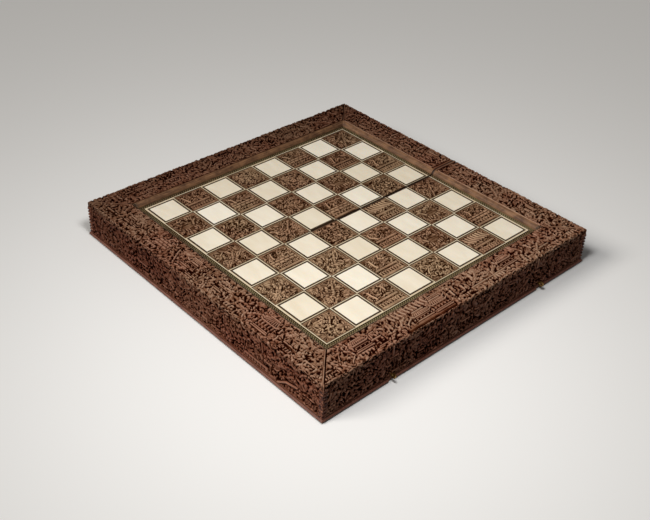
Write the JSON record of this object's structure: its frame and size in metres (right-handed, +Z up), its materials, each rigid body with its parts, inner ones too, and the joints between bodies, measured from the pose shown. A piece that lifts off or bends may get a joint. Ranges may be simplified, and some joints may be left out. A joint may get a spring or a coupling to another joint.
{
  "type": "folding chess and backgammon box",
  "caption": "Folding carved wood games box opened flat: chequered field with pale plates, carved border, hinged trays with backgammon tables inside and swing hooks.",
  "frame": {"origin": "middle of the board's underside, on the surface that the open board rests on", "axes": "+X across the fold from the left tray to the right tray, +Y along the fold towards the back, +Z up through the chequered field"},
  "size_m": [0.464, 0.453, 0.0519],
  "materials": {
    "carved_wood": "carved, waxed",
    "carcass_wood": "planed",
    "plain_moulding": "satin",
    "beaded_strip": "carved, waxed",
    "bone": "polished",
    "carved_panel": "carved, waxed",
    "ebony": "satin",
    "floor_veneer": "satin",
    "light_veneer": "satin",
    "dark_veneer": "satin",
    "brass": "aged"
  },
  "bodies": {
    "left_half": {"left_wall_outer": "carved_wood", "left_wall_front": "carved_wood", "left_wall_back": "carved_wood", "left_wall_fold": "carcass_wood", "left_corner_posts": "carved_wood", "left_base_moulding": "plain_moulding", "left_ground_board": "carcass_wood", "left_rail_outer": "carved_wood", "left_rail_front": "carved_wood", "left_rail_back": "carved_wood", "left_inner_slip": "plain_moulding", "left_bead_strip": "beaded_strip", "left_edge_line": "bone", "left_ivory_squares": "bone", "left_ivory_lines": "bone", "left_carved_squares": "carved_panel", "left_ebony_lines": "ebony", "left_tray_floor": "floor_veneer", "left_light_points": "light_veneer", "left_dark_points": "dark_veneer", "front_hinge_left_leaf": "brass", "front_hinge_pin": "brass", "front_hook_pivot": "brass", "back_hinge_left_leaf": "brass", "back_hinge_pin": "brass", "back_hook_pivot": "brass"},
    "right_half": {"right_wall_outer": "carved_wood", "right_wall_front": "carved_wood", "right_wall_back": "carved_wood", "right_wall_fold": "carcass_wood", "right_corner_posts": "carved_wood", "right_base_moulding": "plain_moulding", "right_ground_board": "carcass_wood", "right_rail_outer": "carved_wood", "right_rail_front": "carved_wood", "right_rail_back": "carved_wood", "right_inner_slip": "plain_moulding", "right_bead_strip": "beaded_strip", "right_edge_line": "bone", "right_ivory_squares": "bone", "right_ivory_lines": "bone", "right_carved_squares": "carved_panel", "right_ebony_lines": "ebony", "right_tray_floor": "floor_veneer", "right_light_points": "light_veneer", "right_dark_points": "dark_veneer", "front_hinge_right_leaf": "brass", "front_eye": "brass", "back_hinge_right_leaf": "brass", "back_eye": "brass"},
    "front_hook": {"front_hook": "brass"},
    "back_hook": {"back_hook": "brass"}
  },
  "joints": [
    {"name": "fold", "type": "hinge", "parent": "left_half", "child": "right_half", "pos_m": [0, 0, 0.00125], "axis": [0, 1, 0], "range_deg": [0, 180]},
    {"name": "front_hook_swing", "type": "hinge", "parent": "left_half", "child": "front_hook", "pos_m": [-0.2286, -0.124, 0.0104], "axis": [1, 0, 0], "range_deg": [-66.09, 100]},
    {"name": "back_hook_swing", "type": "hinge", "parent": "left_half", "child": "back_hook", "pos_m": [-0.2286, 0.135, 0.0104], "axis": [1, 0, 0], "range_deg": [-66.09, 100]}
  ]
}
